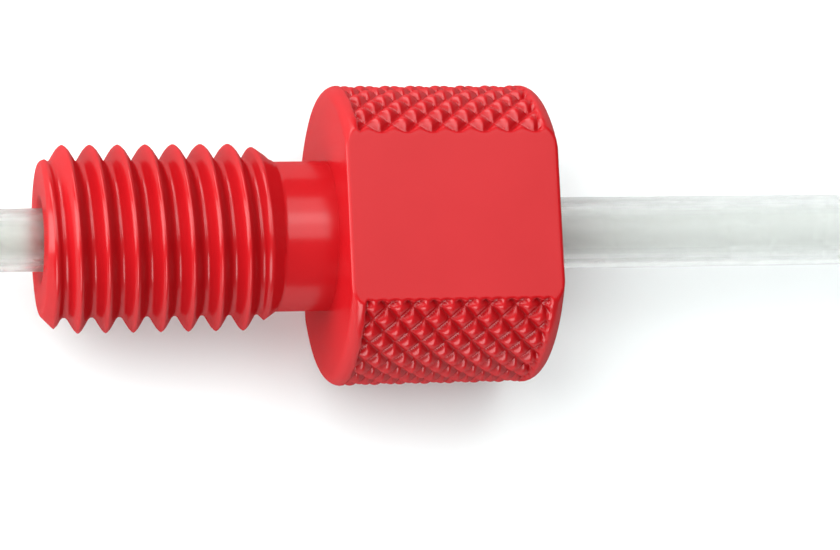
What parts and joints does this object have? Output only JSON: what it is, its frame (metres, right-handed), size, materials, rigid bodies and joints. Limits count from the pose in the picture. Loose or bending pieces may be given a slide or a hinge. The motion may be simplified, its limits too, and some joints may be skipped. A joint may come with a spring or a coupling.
{
  "type": "fingertight tube fitting",
  "caption": "Finger-tight nut with a fine-threaded end, a plain neck and a diamond-knurled head with wrench flats, turning on a clear plastic tube.",
  "frame": {"origin": "centre of the nut's front face, on the common axis of the nut and the tube", "axes": "+X along the axis from the threaded end towards the head and the long end of the tube, +Z the outward normal of the upper wrench flat; the part lies on the lower flat"},
  "size_m": [0.0435, 0.01, 0.0082],
  "materials": {
    "nut_plastic": "moulded, satin gloss",
    "tube_plastic": "clear, smooth"
  },
  "bodies": {
    "nut": {"nut": "nut_plastic"},
    "tube": {"tube": "tube_plastic"}
  },
  "joints": [
    {"name": "tube_spin", "type": "hinge", "parent": "nut", "child": "tube", "pos_m": [0, 0, 0], "axis": [1, 0, 0], "continuous": true}
  ]
}
